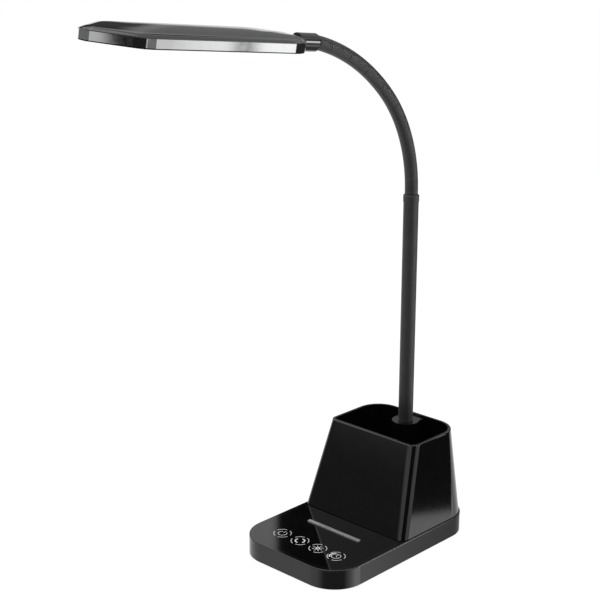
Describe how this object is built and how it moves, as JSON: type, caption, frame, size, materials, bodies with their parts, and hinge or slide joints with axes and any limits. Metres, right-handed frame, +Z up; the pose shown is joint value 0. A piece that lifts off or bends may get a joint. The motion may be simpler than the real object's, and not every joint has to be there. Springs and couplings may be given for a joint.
{
  "type": "desk lamp with pen cup",
  "caption": "Desk lamp: flat LED head on a flexible neck and pole, touch-panel base with a ledge that holds a phone and a tall pen cup.",
  "frame": {"origin": "centre of the anti-slip pad's lower face, on the table", "axes": "+X to the lamp's right, +Y to its back, +Z up"},
  "size_m": [0.11, 0.3352, 0.4323],
  "materials": {
    "black_gloss": "high gloss moulded black",
    "panel_gloss": "polished black sheet with printed touch symbols",
    "black_satin": "fine textured black",
    "soft_black": "matt soft-touch black",
    "pad_rubber": "matt, fine ribs",
    "ledge_silver": "light grey",
    "bright_band": "mirror polished",
    "steel": "zinc plated",
    "board_green": "green solder mask",
    "board_white": "white solder mask",
    "opal": "opal translucent",
    "clear": "clear acrylic",
    "white_film": "white reflective film",
    "phosphor": "yellow phosphor",
    "contact_rubber": "conductive foam rubber",
    "wire_jacket": "grey wire jacket"
  },
  "bodies": {
    "lamp_base": {"anti_slip_pad": "pad_rubber", "bottom_cover": "black_satin", "cover_screws": "steel", "base_shell": "black_gloss", "touch_panel": "panel_gloss", "phone_ledge": "ledge_silver", "ballast_plate": "steel", "ballast_screws": "steel", "main_board": "board_green", "power_board": "board_green", "board_screws": "steel", "touch_contacts": "contact_rubber", "power_inlet": "black_satin", "lamp_lead": "wire_jacket", "board_lead": "wire_jacket", "pen_cup": "black_gloss", "cup_screws": "steel", "pole_tube": "steel", "pole_sleeve": "soft_black", "pole_collar": "soft_black", "pole_washer": "steel", "pole_nut": "steel", "neck_plug": "soft_black"},
    "neck_link_1": {"neck_link_1": "soft_black"},
    "neck_link_2": {"neck_link_2": "soft_black"},
    "neck_link_3": {"neck_link_3": "soft_black"},
    "neck_link_4": {"neck_link_4": "soft_black"},
    "neck_link_5": {"neck_link_5": "soft_black"},
    "neck_link_6": {"neck_link_6": "soft_black"},
    "neck_link_7": {"neck_link_7": "soft_black"},
    "neck_link_8": {"neck_link_8": "soft_black"},
    "lamp_head": {"neck_socket": "black_gloss", "head_cover": "black_gloss", "head_rim": "bright_band", "head_bezel": "black_gloss", "diffuser": "opal", "light_guide": "clear", "reflector": "white_film", "led_strips": "board_white", "leds": "phosphor", "head_screws": "steel"}
  },
  "joints": [
    {"name": "neck_bend_1", "type": "hinge", "parent": "lamp_base", "child": "neck_link_1", "pos_m": [0, 0.0605, 0.2835], "axis": [1, 0, 0], "range_deg": [-15, 15]},
    {"name": "neck_sway_2", "type": "hinge", "parent": "neck_link_1", "child": "neck_link_2", "pos_m": [0, 0.05829, 0.30594], "axis": [0, 0.9808, 0.1951], "range_deg": [-15, 15]},
    {"name": "neck_bend_3", "type": "hinge", "parent": "neck_link_2", "child": "neck_link_3", "pos_m": [0, 0.05175, 0.32751], "axis": [1, 0, 0], "range_deg": [-15, 15]},
    {"name": "neck_sway_4", "type": "hinge", "parent": "neck_link_3", "child": "neck_link_4", "pos_m": [0, 0.04112, 0.34739], "axis": [0, 0.8315, 0.5556], "range_deg": [-15, 15]},
    {"name": "neck_bend_5", "type": "hinge", "parent": "neck_link_4", "child": "neck_link_5", "pos_m": [0, 0.02682, 0.36482], "axis": [1, 0, 0], "range_deg": [-15, 15]},
    {"name": "neck_sway_6", "type": "hinge", "parent": "neck_link_5", "child": "neck_link_6", "pos_m": [0, 0.00973, 0.3797], "axis": [0, 0.6036, 0.7973], "range_deg": [-15, 15]},
    {"name": "neck_bend_7", "type": "hinge", "parent": "neck_link_6", "child": "neck_link_7", "pos_m": [0, -0.00923, 0.39211], "axis": [1, 0, 0], "range_deg": [-15, 15]},
    {"name": "neck_sway_8", "type": "hinge", "parent": "neck_link_7", "child": "neck_link_8", "pos_m": [0, -0.02972, 0.4018], "axis": [0, 0.3645, 0.9312], "range_deg": [-15, 15]},
    {"name": "neck_bend_9", "type": "hinge", "parent": "neck_link_8", "child": "lamp_head", "pos_m": [0, -0.05134, 0.40859], "axis": [1, 0, 0], "range_deg": [-15, 15]}
  ],
  "couplings": [
    {"joint": "neck_bend_3", "follows": "neck_bend_1", "ratio": 1},
    {"joint": "neck_sway_4", "follows": "neck_sway_2", "ratio": 1},
    {"joint": "neck_bend_7", "follows": "neck_bend_5", "ratio": 1},
    {"joint": "neck_bend_9", "follows": "neck_bend_5", "ratio": 1},
    {"joint": "neck_sway_8", "follows": "neck_sway_6", "ratio": 1}
  ]
}
